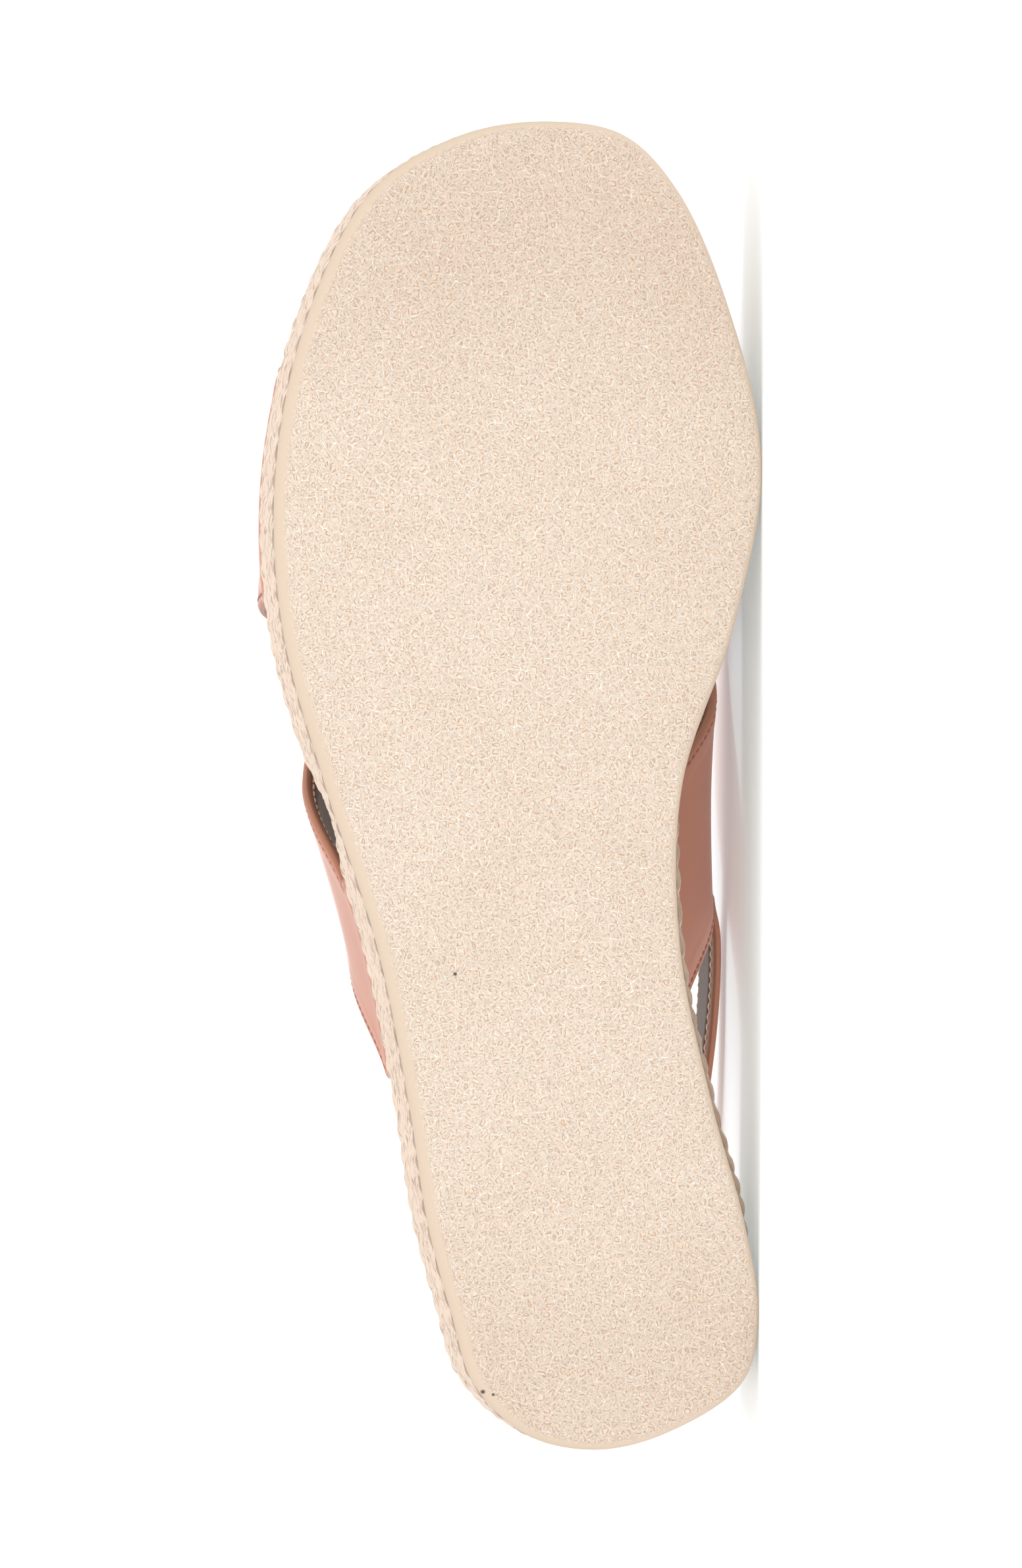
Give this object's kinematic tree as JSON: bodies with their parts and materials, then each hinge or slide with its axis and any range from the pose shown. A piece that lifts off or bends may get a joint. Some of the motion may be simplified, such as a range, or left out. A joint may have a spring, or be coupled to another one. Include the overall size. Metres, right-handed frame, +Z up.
{
  "type": "platform sandal",
  "caption": "Right platform sandal lying on its inner side: pebbled rubber tread, braided jute platform, crossed leather straps and a heel strap.",
  "frame": {"origin": "on the floor under the middle of the shoe's box, the shoe lying on its inner side", "axes": "+X from heel to toe, -Y out of the tread, +Z up, towards the shoe's outer side"},
  "size_m": [0.257, 0.1028, 0.0958],
  "materials": {
    "tread_rubber": "matte pebbled crepe",
    "jute_braid": "natural plaited jute",
    "insole_leather": "smooth matte leather",
    "strap_leather": "smooth glossy leather"
  },
  "bodies": {
    "root": {"outsole": "tread_rubber", "platform_braid": "jute_braid", "insole": "insole_leather", "upper": "strap_leather"}
  },
  "joints": []
}
